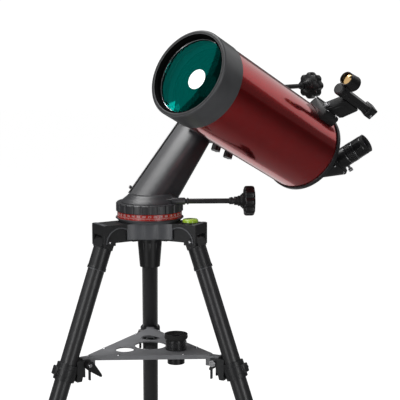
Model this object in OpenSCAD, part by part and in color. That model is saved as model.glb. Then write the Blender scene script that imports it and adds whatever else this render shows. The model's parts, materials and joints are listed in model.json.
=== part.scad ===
// Maksutov-Cassegrain telescope on a leaning single-arm altazimuth mount and a three-leg tripod.
// Millimetres, +Z up, floor at z = 0. The tube points forward, up and to the left of the tripod front.

/* [Tripod] */
// Height of the tray top above the floor
tray_z = 520; // [420:10:640]
// Lean of each leg from the vertical
leg_lean = 19.54; // [15:0.1:24]
// Radius of the leg pivots from the azimuth axis
pivot_r = 88.4; // [80:0.2:100]
// Height of the leg pivots above the tray top
pivot_z = 218; // [200:1:240]
// Outside diameter of the upper leg tubes
leg_d = 30.5; // [25:0.5:38]
// Outside diameter of the lower leg tubes
lower_d = 25.6; // [20:0.2:30]
// Where the upper leg tube ends, measured down the leg from its pivot
upper_end = 560; // [480:10:620]

/* [Tray] */
// Distance of each straight tray edge from the centre
tray_edge = 68; // [60:1:80]
// Diameter of the three eyepiece holes
tray_hole_d = 34.4; // [32.4:0.2:36]
// Distance of the eyepiece holes from the centre
tray_hole_r = 54; // [50:1:58]

/* [Mount] */
// Plan direction the telescope points, measured from +X
heading = 225; // [0:5:360]
// Radius of the turning table
turn_r = 61; // [55:1:66]
// Distance of the altitude axis behind the azimuth axis
alt_back = 150; // [130:1:160]
// Height of the altitude axis above the tray top
alt_z = 406; // [390:1:420]
// Diameter of the slow-motion knobs
knob_d = 54; // [44:1:60]

/* [Telescope] */
// Sideways offset of the tube axis from the azimuth axis
tube_side = 155; // [150:1:170]
// Altitude of the tube as stored
tube_alt = 25.4; // [0:0.1:55]
// Outside diameter of the tube
tube_d = 155.2; // [140:0.2:158]
// Front rim, ahead of the altitude axis
front_x = 237; // [220:1:250]
// Rear rim, behind the altitude axis
rear_x = -117; // [-130:1:-105]
// Roll of the diagonal towards the observer
diagonal_roll = 52; // [0:1:90]
// Outside diameter of a 1.25 in eyepiece barrel
barrel_d = 31.75; // [31.7:0.05:31.8]

/* [Hidden] */
$fn = 64;
axis_x = -58.3;            // azimuth axis, placed so the whole object stands over the origin
axis_y = -78.0;
run = 0.08;                // radial clearance of a shaft that turns or slides in its hole
leg_r = leg_d / 2;
low_r = lower_d / 2;
tube_r = tube_d / 2;
ring_r = tube_r + 1.2;
leg_len = (tray_z + pivot_z) / cos(leg_lean);
foot_r = pivot_r + (tray_z + pivot_z) * tan(leg_lean);
worm_y = -30;              // azimuth worm line, beside the azimuth axis
worm_z = 274;
bolt_down = 13.8;          // leg pivot bolt, measured down the leg line
alt_worm_h = 59.8;         // altitude worm line, above the altitude axis
alt_worm_y = 42;
diag_x = rear_x - 91;      // where the tube axis meets the eyepiece axis
finder_roll = 40;

// ---------- shared helpers ----------
module xcyl(x0, x1, r) translate([x0, 0, 0]) rotate([0, 90, 0]) cylinder(h = x1 - x0, r = r);
module xcone(x0, x1, ra, rb) translate([x0, 0, 0]) rotate([0, 90, 0])
  cylinder(h = x1 - x0, r1 = ra, r2 = rb);
module ycyl(y0, y1, r) translate([0, y1, 0]) rotate([90, 0, 0]) cylinder(h = y1 - y0, r = r);
module zcyl(z0, z1, r) translate([0, 0, z0]) cylinder(h = z1 - z0, r = r);
module zcone(z0, z1, ra, rb) translate([0, 0, z0]) cylinder(h = z1 - z0, r1 = ra, r2 = rb);
module ztube(z0, z1, r, ri) difference() { zcyl(z0, z1, r); zcyl(z0 - 1, z1 + 1, ri); }
module xtube(x0, x1, r, ri) difference() { xcyl(x0, x1, r); xcyl(x0 - 1, x1 + 1, ri); }
module box(x0, x1, y0, y1, z0, z1) translate([x0, y0, z0]) cube([x1 - x0, y1 - y0, z1 - z0]);

// ---------- frames ----------
// Tripod frame: azimuth axis, heights from the tray top
module tripod() translate([axis_x, axis_y, tray_z]) children();
// Leg frame: pivot at the origin, -Z down the leg, +X outward
module leg(a) tripod() rotate([0, 0, a]) translate([pivot_r, 0, pivot_z])
  rotate([0, -leg_lean, 0]) children();
// Pivot bolt of a leg
module bolt_line(a) leg(a) translate([0, 0, -bolt_down]) children();
// Level frame at a leg: +X outward, heights from the tray top
module radial(a) tripod() rotate([0, 0, a]) children();
// Head frame: +X the way the telescope points, +Y towards the tube
module head() tripod() rotate([0, 0, heading]) children();
module altitude() head() translate([-alt_back, 0, alt_z]) children();
// Tube frame: +X forward along the optical axis, X = 0 at the altitude axis
module ota() head() translate([-alt_back, tube_side, alt_z]) rotate([0, -tube_alt, 0]) children();
module azimuth_worm_line() head() rotate([0, 0, 135]) translate([0, worm_y, worm_z]) children();
module altitude_worm_line() altitude() translate([0, alt_worm_y, alt_worm_h]) children();
module diagonal_frame() ota() translate([diag_x, 0, 0]) rotate([-diagonal_roll, 0, 0]) children();
module finder() ota() rotate([-finder_roll, 0, 0]) children();

// ---------- tripod ----------
module lug(a) {
  difference() {
    radial(a) union() {
      box(36, 104, -23, 23, 203, 236);
      box(80, 106, -23, 23, 198, 236);
    }
    radial(a) box(62, 101.4, -15.4, 15.4, 190, 231);
    radial(a) box(101, 120, -15.4, 15.4, 190, 218.5);
    for (y = [-29.6, 17.6]) radial(a) translate([74, y, 203]) ycyl(0, 12, 26);
    bolt_line(a) ycyl(-30, 30, 4);
  }
}

module hub() color([0.30, 0.30, 0.32]) {
  difference() {
    union() {
      tripod() zcyl(206, 236, 45.5);
      for (a = [90, 210, 330]) lug(a);
      radial(330) translate([84, 0, 0]) zcyl(235, 238, 15.5);
    }
    tripod() zcyl(209, 229, 40);
    tripod() zcyl(200, 212, 24);
    tripod() zcyl(228, 240, 14);
  }
}

module pivot_bolts() color([0.62, 0.62, 0.64]) for (a = [90, 210, 330]) bolt_line(a) {
  ycyl(-17.6, 17.6, 4);
  ycyl(17.6, 20.6, 5.4);
  ycyl(-20.6, -17.6, 5.4);
}

module bubble_level() color([0.62, 0.85, 0.20]) radial(330) translate([84, 0, 0]) {
  zcyl(238, 241.5, 14.2);
  zcone(241.5, 242.6, 14.2, 13);
}

// Knob under the hub that sets the friction of the azimuth clutch
module tension_knob() color([0.06, 0.06, 0.07]) tripod() {
  zcyl(198, 238, 5);
  zcyl(203, 211, 20);
  difference() {
    zcone(150, 203.1, 18.4, 22.8);
    for (i = [0:11]) rotate([0, 0, i * 30]) translate([24.6, 0, 0]) zcyl(140, 196, 3.6);
  }
}

module leg_head(a) color([0.10, 0.10, 0.11]) difference() {
  union() {
    bolt_line(a) ycyl(-15, 15, 12.4);
    leg(a) box(-12.4, 12.4, -15, 15, -27, -bolt_down);
    leg(a) zcyl(-62, -26, leg_r + 1.2);
    leg(a) zcyl(-66, -61, leg_r + 1.9);
  }
  leg(a) zcyl(-70, -28, leg_r);
  bolt_line(a) ycyl(-20, 20, 4 + run);
}

module leg_tube(a) color([0.16, 0.16, 0.17]) leg(a) ztube(-upper_end, -28, leg_r, leg_r - 1.6);

module tray_bracket(a) color([0.12, 0.12, 0.13]) {
  difference() {
    union() {
      leg(a) zcyl(-271, -241, leg_r + 4.2);
      radial(a) box(131, 158, -13.5, 13.5, -42, -4);
    }
    leg(a) zcyl(-290, -220, leg_r);
    radial(a) box(110, 151, -8.2, 8.2, -50, 10);
    radial(a) translate([137, 0, -12]) ycyl(-20, 20, 3.4);
    radial(a) translate([137, 30, -12]) rotate([90, 0, 0]) linear_extrude(height = 60)
      polygon([[-3.4, 0], [3.4, 0], [13, -34], [-3.4, -34]]);
  }
}

module leg_lock(a) color([0.10, 0.10, 0.11]) leg(a) difference() {
  union() {
    zcyl(-upper_end - 12, -upper_end + 34, leg_r + 4);
    translate([0, 0, -upper_end + 12]) xcyl(10, leg_r + 15, 9.5);
  }
  zcyl(-upper_end, -upper_end + 40, leg_r);
  zcyl(-upper_end - 20, -upper_end + 1, low_r + run);
  translate([0, 0, -upper_end + 12]) xcyl(0, 60, 4 + run);
}

module lock_knob(a) color([0.07, 0.07, 0.08]) leg(a) translate([0, 0, -upper_end + 12]) {
  xcyl(leg_r + 0.6, leg_r + 16, 4);
  difference() {
    xcyl(leg_r + 16, leg_r + 30, 16);
    for (i = [0:5]) rotate([i * 60, 0, 0]) translate([0, 0, 19.5]) xcyl(leg_r + 10, leg_r + 40, 6);
  }
}

module lower_leg(a) color([0.58, 0.58, 0.60]) leg(a)
  ztube(-leg_len + 16, -upper_end + 130, low_r, low_r - 1.5);

module foot(a) color([0.05, 0.05, 0.05]) difference() {
  union() {
    leg(a) zcyl(-leg_len + 7, -leg_len + 46, low_r + 3);
    radial(a) translate([foot_r, 0, -tray_z]) { zcyl(0, 5, 20); zcone(5, 12, 20, 14); }
  }
  leg(a) zcyl(-leg_len + 16, -leg_len + 60, low_r);
}

// ---------- tray ----------
module tray_outline(grow) polygon([for (a = [90, 210, 330]) each
  [let (c = 126 + grow, w = (2 * (tray_edge + grow) - (126 + grow)) / sqrt(3))
     [c * cos(a) + w * sin(a), c * sin(a) - w * cos(a)],
   let (c = 126 + grow, w = (2 * (tray_edge + grow) - (126 + grow)) / sqrt(3))
     [c * cos(a) - w * sin(a), c * sin(a) + w * cos(a)]]]);

module tray() color([0.45, 0.45, 0.46]) {
  tripod() difference() {
    union() {
      translate([0, 0, -1.8]) linear_extrude(height = 1.8) tray_outline(0);
      translate([0, 0, -8]) linear_extrude(height = 7) difference() {
        tray_outline(0);
        tray_outline(-1.8);
      }
    }
    zcyl(-3, 3, 28.8);
    for (a = [90, 210, 330]) rotate([0, 0, a]) translate([tray_hole_r, 0, 0])
      zcyl(-3, 3, tray_hole_d / 2);
  }
  for (a = [90, 210, 330]) radial(a) difference() {
    box(119, 144, -7.6, 7.6, -20, -1.8);
    box(110, 129, -6, 6, -30, -3.6);
    translate([137, 0, -12]) ycyl(-20, 20, 3);
  }
}

module tray_bolts() color([0.72, 0.72, 0.74])
  for (a = [90, 210, 330]) radial(a) translate([137, 0, -12]) {
    ycyl(-14, 22, 3);
    ycyl(-19, -14, 6);
  }

module wing_lever(a) color([0.06, 0.06, 0.07]) radial(a) translate([137, 0, -12]) difference() {
  union() {
    ycyl(14, 23.5, 8);
    hull() { ycyl(17, 23.5, 6); translate([-24, 0, -24]) ycyl(19, 23, 2.4); }
  }
  ycyl(10, 22, 3 + run);
}

module spare_eyepiece() color([0.08, 0.08, 0.09]) radial(330) translate([tray_hole_r, 0, 0])
  rotate_extrude() polygon([[13.4, -26], [barrel_d / 2, -26], [barrel_d / 2, 0.4], [19, 0.4],
    [19, 16], [18.2, 17], [18.2, 20], [12, 20], [12, 2], [13.4, 0]]);

module spare_eyecup() color([0.03, 0.03, 0.03]) radial(330) translate([tray_hole_r, 0, 0])
  rotate_extrude() polygon([[11, 20], [20.4, 20], [21.6, 23], [21.2, 29], [19.4, 29.5],
    [18.6, 26], [14, 23], [11, 23]]);

// ---------- azimuth ----------
module azimuth_base() color([0.09, 0.09, 0.10]) tripod() difference() {
  union() {
    zcone(236, 241, 56, 61.5);
    zcyl(241, 242.4, 61.5);
    zcyl(242.4, 253.6, 54);
    zcyl(231, 236, 13.9);
  }
  zcyl(220, 260, 12 + run);
}

module setting_circle() color([0.75, 0.06, 0.05]) tripod() ztube(242.6, 253.2, 58.8, 54 + run);

module azimuth_wheel() color([0.66, 0.55, 0.28]) tripod() difference() {
  union() {
    zcyl(222, 269.4, 12);
    zcyl(222, 224.4, 18);
    difference() {
      zcyl(269.4, 279.4, 23.6);
      for (i = [0:35]) rotate([0, 0, i * 10]) translate([24.4, 0, 0]) zcyl(265, 285, 1.1);
    }
  }
  zcyl(220, 240, 5 + run);
}

module turntable() color([0.08, 0.08, 0.09]) difference() {
  tripod() union() {
    zcyl(254, 268, turn_r);
    zcone(268, 270, turn_r, turn_r - 2);
  }
  tripod() for (i = [0:23]) rotate([0, 0, i * 15]) translate([turn_r + 3.2, 0, 0])
    zcyl(250, 275, 4.8);
  tripod() zcyl(250, 275, 12 + run);
  tripod() zcyl(265, 275, 26);
  azimuth_worm_line() xcyl(-25, 25, 7.4);
  azimuth_worm_line() xcyl(0, 80, 5.2);
}

// Outline of the arm seen along the altitude axis
module arm_side(grow, y0, y1) hull() {
  translate([0, y0, 0]) box(-46 - grow, 38 + grow, 0, y1 - y0, 270, 274);
  translate([-alt_back, 0, alt_z]) ycyl(y0, y1, 27 + grow);
}

module arm() color([0.24, 0.24, 0.26]) {
  difference() {
    union() {
      intersection() {
        head() arm_side(0, -29, 29);
        head() hull() {
          translate([-250, -29, 260]) cube([400, 14, 220]);
          translate([-250, 15, 260]) cube([400, 14, 220]);
        }
      }
      altitude() ycyl(2, 50, 40);
      intersection() {
        altitude() ycyl(2, 50, 57);
        altitude() box(-60, 60, 0, 52, -4, 60);
      }
      altitude_worm_line() xcyl(-34, 40, 12);
      altitude_worm_line() xcyl(-58, -30, 9);
      tripod() zcone(270, 284, 53, 38);
      difference() {
        azimuth_worm_line() xcyl(30, 64, 6.6);
        tripod() zcyl(260, 270, 62);
      }
    }
    head() translate([0, -40, 0]) hull() {
      box(-36, 26, 0, 56, 292, 294);
      translate([-alt_back, 0, alt_z]) ycyl(0, 56, 18);
    }
    tripod() zcyl(268, 281, 26);
    azimuth_worm_line() xcyl(-24, 24, 7.4);
    azimuth_worm_line() xcyl(0, 80, 4.6 + run);
    altitude() ycyl(-10, 60, 14 + run);
    altitude() ycyl(33, 44, 21.5);
    intersection() {
      altitude() ycyl(33, 44, 52.5);
      altitude() box(-60, 60, 30, 50, 0, 60);
    }
    altitude_worm_line() xcyl(-24, 24, 9.4);
    altitude_worm_line() xcyl(-70, 30, 4.6 + run);
  }
}

module arm_cover() color([0.10, 0.10, 0.11]) {
  difference() {
    head() arm_side(1, -34.5, -29);
    tripod() zcone(269, 284, 54.0715, 38);
  }
  head() translate([-alt_back, 0, alt_z]) ycyl(-36.5, -34.5, 4);
  head() translate([-14, 0, 296]) ycyl(-36.5, -34.5, 4);
}

module knob(d, t) difference() {
  union() {
    xcyl(0, t, d / 2);
    xcone(-9, 0.1, 9, 15);
    xcyl(-17, -9, 7.5);
  }
  for (i = [0:7]) rotate([i * 45, 0, 0]) translate([0, 0, d / 2 + 4.6]) xcyl(-1, t + 1, 8);
  xcyl(-20, t - 4, 4.6);
}

module azimuth_rod() color([0.20, 0.20, 0.21]) azimuth_worm_line() {
  xcyl(20, 185, 4.6);
  difference() {
    xcyl(-20, 20.5, 6);
    for (x = [-17.5:4.12:16]) translate([x, 0, 0]) xtube(0, 1.9, 9, 5.2);
  }
}

module azimuth_knob() color([0.05, 0.05, 0.06]) azimuth_worm_line() translate([169, 0, 0])
  knob(knob_d, 20);

// ---------- altitude ----------
// Toothed sector, since the tube tips through less than a quarter turn
module altitude_wheel() color([0.66, 0.55, 0.28]) altitude() difference() {
  union() {
    intersection() {
      ycyl(34, 43, 51);
      translate([0, 43, 0]) rotate([90, 0, 0]) linear_extrude(height = 9)
        polygon([[0, -4], [62, 54], [62, 60], [-62, 60], [-62, 54]]);
    }
    ycyl(34, 43, 20);
    ycyl(4, 52, 14);
  }
  for (i = [-7:7]) rotate([0, i * 6, 0]) translate([0, 0, 51.6]) ycyl(30, 50, 1.2);
  ycyl(0, 60, 10 + run);
}

module altitude_rod() color([0.20, 0.20, 0.21]) altitude_worm_line() {
  xcyl(-279, -20, 4.6);
  difference() {
    xcyl(-20.5, 20, 8.4);
    for (x = [-18:5.34:15]) translate([x, 0, 0]) xtube(0, 2.6, 12, 7.4);
  }
}

module altitude_knob() color([0.05, 0.05, 0.06]) altitude_worm_line()
  translate([-263.5, 0, 0]) rotate([0, 180, 0]) knob(knob_d, 20);

module saddle() color([0.12, 0.12, 0.13]) {
  altitude() ycyl(0, 55, 10);
  altitude() ycyl(-4, 0, 13);
  altitude() rotate([0, -tube_alt, 0]) difference() {
    union() {
      ycyl(52.6, 58, 30);
      box(-50, 50, 57, 71, -34, 34);
    }
    translate([-60, 0, 0]) rotate([90, 0, 90]) linear_extrude(height = 120)
      polygon([[62, -23], [62, 23], [72, 19], [72, -19]]);
    for (x = [-17, 20]) translate([x, 66, 0]) rotate([180, 0, 0]) zcyl(0, 60, 3 + run);
  }
}

module saddle_knob(x) color([0.05, 0.05, 0.06]) altitude() rotate([0, -tube_alt, 0])
  translate([x, 66, 0]) {
    zcyl(-49, -23.2, 3);
    difference() {
      zcyl(-62, -48, 8.6);
      for (i = [0:5]) rotate([0, 0, i * 60]) translate([10.6, 0, 0]) zcyl(-64, -46, 3.4);
    }
  }

// ---------- telescope ----------
module dovetail_bar() color([0.62, 0.10, 0.08]) difference() {
  altitude() rotate([0, -tube_alt, 0]) union() {
    translate([-80, 0, 0]) rotate([90, 0, 90]) linear_extrude(height = 170)
      polygon([[62.3, -22.6], [62.3, 22.6], [71.8, 19], [71.8, -19]]);
    box(-80, 90, 71.8, 82, -16, 16);
  }
  ota() xcyl(-120, 130, tube_r);
}

module tube() color([0.42, 0.03, 0.05]) ota() xtube(rear_x + 8, front_x - 43, tube_r, tube_r - 1.6);

module front_ring() color([0.06, 0.06, 0.07]) ota() difference() {
  union() {
    xcyl(front_x - 49, front_x - 2, ring_r);
    xcone(front_x - 2, front_x, ring_r, ring_r - 1.5);
  }
  xcyl(front_x - 60, front_x - 43, tube_r);
  xcyl(front_x - 50, front_x + 5, 65);
  xcyl(front_x - 29, front_x + 5, 68.4);
  xcone(front_x - 4, front_x + 1, 68.4, 72);
}

// Meniscus lens, hollow towards the sky
module corrector() color([0.10, 0.45, 0.40]) ota() translate([front_x - 26, 0, 0])
  rotate([0, 90, 0]) rotate_extrude() polygon(concat(
    [for (i = [0:8]) [68.3 * i / 8, pow(68.3 * i / 8, 2) / 440]],
    [for (i = [8:-1:0]) [68.3 * i / 8, pow(68.3 * i / 8, 2) / 440 - 12]]));

module secondary_spot() color([0.92, 0.92, 0.90]) ota() translate([front_x - 38.04, 0, 0])
  rotate([0, 90, 0]) rotate_extrude() polygon(concat(
    [for (i = [0:4]) [21.4 * i / 4, pow(21.4 * i / 4, 2) / 440]],
    [[21.4, -9], [20.2, -9], [20.2, -0.9], [0, -0.9]]));

module primary_mirror() color([0.80, 0.82, 0.84]) ota() translate([-92, 0, 0])
  rotate([0, 90, 0]) rotate_extrude() polygon(concat(
    [[18 + run, 0], [66, 0]],
    [for (i = [6:-1:2]) [11 * i, 12 + pow(11 * i, 2) / 1520]],
    [[22, 40], [18 + run, 40]]));

module rear_cell() color([0.08, 0.08, 0.09]) ota() difference() {
  union() {
    xcone(rear_x - 2, rear_x, 77, 80);
    xcyl(rear_x, rear_x + 8, 80);
    xcyl(rear_x + 7, rear_x + 16, tube_r - 1.6);
    xcyl(rear_x - 10, rear_x, 32);
    xcyl(rear_x, 70, 18);
  }
  xcyl(rear_x - 12, 80, 16.4);
  translate([0, -30, -36]) xcyl(rear_x - 20, rear_x + 20, 5 + run);
}

module focus_knob() color([0.10, 0.10, 0.11]) ota() translate([0, -30, -36]) {
  xcyl(rear_x - 6, rear_x + 15, 5);
  difference() {
    xcyl(rear_x - 30, rear_x - 5, 13);
    for (i = [0:17]) rotate([i * 20, 0, 0]) translate([0, 0, 13.6]) xcyl(rear_x - 26, rear_x - 8, 1.2);
  }
}

module visual_back() color([0.10, 0.10, 0.11]) ota() difference() {
  union() {
    xcyl(rear_x - 18, rear_x - 10, 26);
    xcyl(rear_x - 42, rear_x - 18, 21);
    translate([rear_x - 31, 0, 0]) rotate([-60, 0, 0]) zcyl(15, 31, 3.2);
    translate([rear_x - 31, 0, 0]) rotate([-60, 0, 0]) zcyl(27, 36, 5.2);
  }
  xcyl(rear_x - 50, rear_x - 5, barrel_d / 2 + run);
}

module diagonal() color([0.07, 0.07, 0.08]) diagonal_frame() difference() {
  union() {
    xtube(20, 72, barrel_d / 2, 14);
    difference() {
      box(-24, 24, -20, 20, -24, 24);
      rotate([0, 45, 0]) translate([-60, -30, -60]) cube([120, 60, 60 - 7]);
    }
    zcyl(23, 44, 19);
    translate([0, 0, 33]) rotate([0, 0, 120]) xcyl(14, 26, 2.6);
    translate([0, 0, 33]) rotate([0, 0, 120]) xcyl(24, 30, 4.2);
  }
  xcyl(-4, 80, 14);
  zcyl(-2, 30, 14);
  zcyl(24, 50, barrel_d / 2 + run);
}

module eyepiece() color([0.06, 0.06, 0.07]) diagonal_frame() rotate_extrude()
  polygon([[13.4, 26], [barrel_d / 2, 26], [barrel_d / 2, 44.4], [18.6, 44.4], [18.6, 80],
    [17.6, 82], [12, 82], [12, 60], [13.4, 50]]);

module eyecup() color([0.03, 0.03, 0.03]) diagonal_frame() rotate_extrude()
  polygon([[13, 82], [18, 82], [18.4, 87], [16.6, 88], [14.6, 84.5], [13, 84.5]]);

module finder_bracket() color([0.06, 0.06, 0.07]) {
  difference() {
    finder() union() {
      box(-92, -50, -17, 26, 62, 92);
      hull() {
        box(-112, -68, -10, 10, 90, 95);
        box(-131, -89, -7.5, 7.5, 120, 124.5);
      }
      translate([-66, 2, 90]) zcyl(0, 10, 4);
    }
    ota() xcyl(-120, -30, tube_r);
    finder() translate([-110, 0, 0]) zcyl(112, 130, 3 + run);
  }
}

module finder_body() color([0.04, 0.04, 0.05]) finder() {
  difference() {
    union() {
      box(-172, -66, -8.5, 8.5, 125, 141);
      box(-172, -151, -11, 11, 122.5, 144.5);
      translate([0, 0, 133]) xcyl(-72, -57, 11.2);
      box(-78, -62, -8, 8, 138, 147);
      translate([0, 0, 155.8]) xcone(-78, -50, 15.2, 13);
      translate([-110, 0, 0]) zcyl(114, 126, 3);
    }
    translate([0, 0, 155.8]) xcyl(-85, -40, 11.2);
  }
}

// ---------- assembly ----------
hub();
pivot_bolts();
bubble_level();
leg_head(90);  // leg_head_1
leg_head(210);  // leg_head_2
leg_head(330);  // leg_head_3
leg_tube(90);  // leg_tube_1
leg_tube(210);  // leg_tube_2
leg_tube(330);  // leg_tube_3
tray_bracket(90);  // tray_bracket_1
tray_bracket(210);  // tray_bracket_2
tray_bracket(330);  // tray_bracket_3
leg_lock(90);  // leg_lock_1
leg_lock(210);  // leg_lock_2
leg_lock(330);  // leg_lock_3
lock_knob(90);  // lock_knob_1
lock_knob(210);  // lock_knob_2
lock_knob(330);  // lock_knob_3
lower_leg(90);  // lower_leg_1
lower_leg(210);  // lower_leg_2
lower_leg(330);  // lower_leg_3
foot(90);  // foot_1
foot(210);  // foot_2
foot(330);  // foot_3
tension_knob();
tray();
tray_bolts();
wing_lever(90);  // wing_lever_1
wing_lever(210);  // wing_lever_2
wing_lever(330);  // wing_lever_3
spare_eyepiece();
spare_eyecup();
azimuth_base();
setting_circle();
azimuth_wheel();
turntable();
arm();
arm_cover();
azimuth_rod();
azimuth_knob();
altitude_wheel();
altitude_rod();
altitude_knob();
saddle();
saddle_knob(20);  // saddle_knob_1
saddle_knob(-17);  // saddle_knob_2
dovetail_bar();
tube();
front_ring();
corrector();
secondary_spot();
primary_mirror();
rear_cell();
focus_knob();
visual_back();
diagonal();
eyepiece();
eyecup();
finder_bracket();
finder_body();
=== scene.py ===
"""Looks for the Maksutov telescope on its altazimuth tripod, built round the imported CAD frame."""
import json
import math

import bmesh
import bpy
from mathutils import Matrix, Vector


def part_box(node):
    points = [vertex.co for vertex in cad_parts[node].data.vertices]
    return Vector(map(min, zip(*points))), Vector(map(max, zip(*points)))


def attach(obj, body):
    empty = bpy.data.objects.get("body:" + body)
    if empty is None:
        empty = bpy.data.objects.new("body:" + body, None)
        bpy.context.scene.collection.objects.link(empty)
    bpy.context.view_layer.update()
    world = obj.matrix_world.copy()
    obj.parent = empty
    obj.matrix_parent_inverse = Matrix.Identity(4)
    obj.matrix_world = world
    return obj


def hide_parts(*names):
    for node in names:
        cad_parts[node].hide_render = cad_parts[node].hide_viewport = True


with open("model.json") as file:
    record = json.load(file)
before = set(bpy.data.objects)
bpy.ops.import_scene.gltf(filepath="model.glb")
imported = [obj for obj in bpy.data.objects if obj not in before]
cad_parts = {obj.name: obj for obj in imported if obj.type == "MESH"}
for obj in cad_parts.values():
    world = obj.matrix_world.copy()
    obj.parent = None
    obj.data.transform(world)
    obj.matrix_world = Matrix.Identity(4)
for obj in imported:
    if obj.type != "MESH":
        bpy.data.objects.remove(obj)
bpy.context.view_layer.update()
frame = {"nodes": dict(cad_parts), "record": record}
NODES = frame["nodes"]
RECORD = frame["record"]
MM = 0.001

# ---------------------------------------------------------------- frames, in metres
AXIS = next(Vector(j["pos_m"]) for j in RECORD["behaviour"]["joints"]
            if j["name"] == "azimuth_clutch_turn")
TRAY_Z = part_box("tray")[1][2]
HEADING, TUBE_ALT, ROLL, FINDER_ROLL, LEAN = (math.radians(a) for a in (225, 25.4, 52, 40, 19.54))
LEGS = {1: math.radians(90), 2: math.radians(210), 3: math.radians(330)}
WORM_SIDE = math.radians(135)               # azimuth knob, from the way the tube points
# the altitude axis lies behind the azimuth axis and above the tray, with the tube beside the arm
REACH, RISE, ASIDE = 150, 406, 155
AZ_WORM_AT, ALT_WORM_AT = (0, -30, 274), (0, 42, 59.8)
LEG_PIVOT = (88.4, 0, 218)                  # out along the leg and up from the tray


def move(x, y, z):
    """A shift given in millimetres, for a frame in metres."""
    return Matrix.Translation(Vector((x, y, z)) * MM)


def turn(angle, axis):
    return Matrix.Rotation(angle, 4, axis)


TRIPOD = Matrix.Translation((AXIS.x, AXIS.y, TRAY_Z))
HEAD = TRIPOD @ turn(HEADING, "Z")
ALTITUDE = HEAD @ move(-REACH, 0, RISE)
OTA = HEAD @ move(-REACH, ASIDE, RISE) @ turn(-TUBE_ALT, "Y")
SADDLE = ALTITUDE @ turn(-TUBE_ALT, "Y")
DIAGONAL = OTA @ move(-208, 0, 0) @ turn(-ROLL, "X")
FINDER = OTA @ turn(-FINDER_ROLL, "X")
AZ_WORM = HEAD @ turn(WORM_SIDE, "Z") @ move(*AZ_WORM_AT)
ALT_WORM = ALTITUDE @ move(*ALT_WORM_AT)
X_AXIS = turn(math.radians(90), "Y")        # lathes turn about Z; this lays them along +X
Y_AXIS = turn(math.radians(-90), "X")       # and this along +Y


def radial(leg):
    return TRIPOD @ turn(LEGS[leg], "Z")


def leg_frame(leg):
    return radial(leg) @ move(*LEG_PIVOT) @ turn(-LEAN, "Y")


# ---------------------------------------------------------------- materials
MAT = {}
SMUDGE, SPREAD = 7.0, 0.12                  # patches: their scale and their part of the roughness
NOISE_RANGE = 0.3, 0.7                      # where nearly all of a noise texture's values lie
EDGE_RANGE = 0.995, 0.90                    # rounded against true normal, from no wear to full wear
CHIP_SCALE = 160


def material(name, colour, rough=0.4, metal=0.0, coat=0.0, coat_rough=0.05, grain=900.0, bump=0.02,
             vary=0.12, stretch=(1, 1, 1), wear=0.0, wear_colour=(0.4, 0.4, 0.42),
             ior=1.5, sheen=0.0, glow=0.0, soft=0.0009):
    """Principled paint, metal or plastic with grain, patchy roughness, soft and rubbed edges."""
    m = MAT[name] = bpy.data.materials.new(name)
    m.use_nodes = True
    nt = m.node_tree
    p = nt.nodes["Principled BSDF"]
    p.inputs["Metallic"].default_value = metal
    p.inputs["IOR"].default_value = ior
    p.inputs["Coat Weight"].default_value = coat
    p.inputs["Coat Roughness"].default_value = coat_rough
    p.inputs["Sheen Weight"].default_value = sheen
    # painted light: glow makes the surface emit its own colour, though it is no lamp
    if glow:
        p.inputs["Emission Color"].default_value = (*colour, 1)
        p.inputs["Emission Strength"].default_value = glow
    link, new = nt.links.new, nt.nodes.new
    co = new("ShaderNodeTexCoord")
    mp = new("ShaderNodeMapping")
    mp.inputs["Scale"].default_value = stretch
    link(co.outputs["Object"], mp.inputs["Vector"])

    def noise(scale, detail):
        n = new("ShaderNodeTexNoise")
        n.inputs["Scale"].default_value = scale
        n.inputs["Detail"].default_value = detail
        link(mp.outputs["Vector"], n.inputs["Vector"])
        return n.outputs["Fac"]

    def spread_to(value, low, high):
        r = new("ShaderNodeMapRange")
        r.inputs["From Min"].default_value, r.inputs["From Max"].default_value = NOISE_RANGE
        r.inputs["To Min"].default_value, r.inputs["To Max"].default_value = low, high
        link(value, r.inputs["Value"])
        return r.outputs["Result"]

    patches = spread_to(noise(SMUDGE, 5.0), max(0.02, rough * (1 - SPREAD)),
                        min(1, rough * (1 + SPREAD)))
    link(patches, p.inputs["Roughness"])
    tint = new("ShaderNodeMix")
    tint.data_type = "RGBA"
    link(spread_to(noise(SMUDGE * 5, 4.0), 0.0, 1.0), tint.inputs["Factor"])
    tint.inputs["A"].default_value = (*[c * (1 - vary) for c in colour], 1)
    tint.inputs["B"].default_value = (*[min(1, c * (1 + vary)) for c in colour], 1)
    out = tint.outputs["Result"]
    bevel = new("ShaderNodeBevel")
    bevel.samples = 4
    bevel.inputs["Radius"].default_value = soft
    if wear:
        geo = new("ShaderNodeNewGeometry")
        dot = new("ShaderNodeVectorMath")
        dot.operation = "DOT_PRODUCT"
        link(bevel.outputs["Normal"], dot.inputs[0])
        link(geo.outputs["Normal"], dot.inputs[1])
        edge = new("ShaderNodeMapRange")
        edge.inputs["From Min"].default_value, edge.inputs["From Max"].default_value = EDGE_RANGE
        edge.inputs["To Min"].default_value, edge.inputs["To Max"].default_value = 0.0, wear
        link(dot.outputs["Value"], edge.inputs["Value"])
        chips = new("ShaderNodeMath")
        chips.operation = "MULTIPLY"
        link(edge.outputs["Result"], chips.inputs[0])
        link(spread_to(noise(CHIP_SCALE, 4.0), 0.1, 1.0), chips.inputs[1])
        rub = new("ShaderNodeMix")
        rub.data_type = "RGBA"
        link(chips.outputs["Value"], rub.inputs["Factor"])
        link(out, rub.inputs["A"])
        rub.inputs["B"].default_value = (*wear_colour, 1)
        out = rub.outputs["Result"]
    link(out, p.inputs["Base Color"])
    b = new("ShaderNodeBump")
    b.inputs["Strength"].default_value = 1.0
    b.inputs["Distance"].default_value = bump * MM
    link(noise(grain, 2.0), b.inputs["Height"])
    link(bevel.outputs["Normal"], b.inputs["Normal"])
    link(b.outputs["Normal"], p.inputs["Normal"])
    return m


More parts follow.
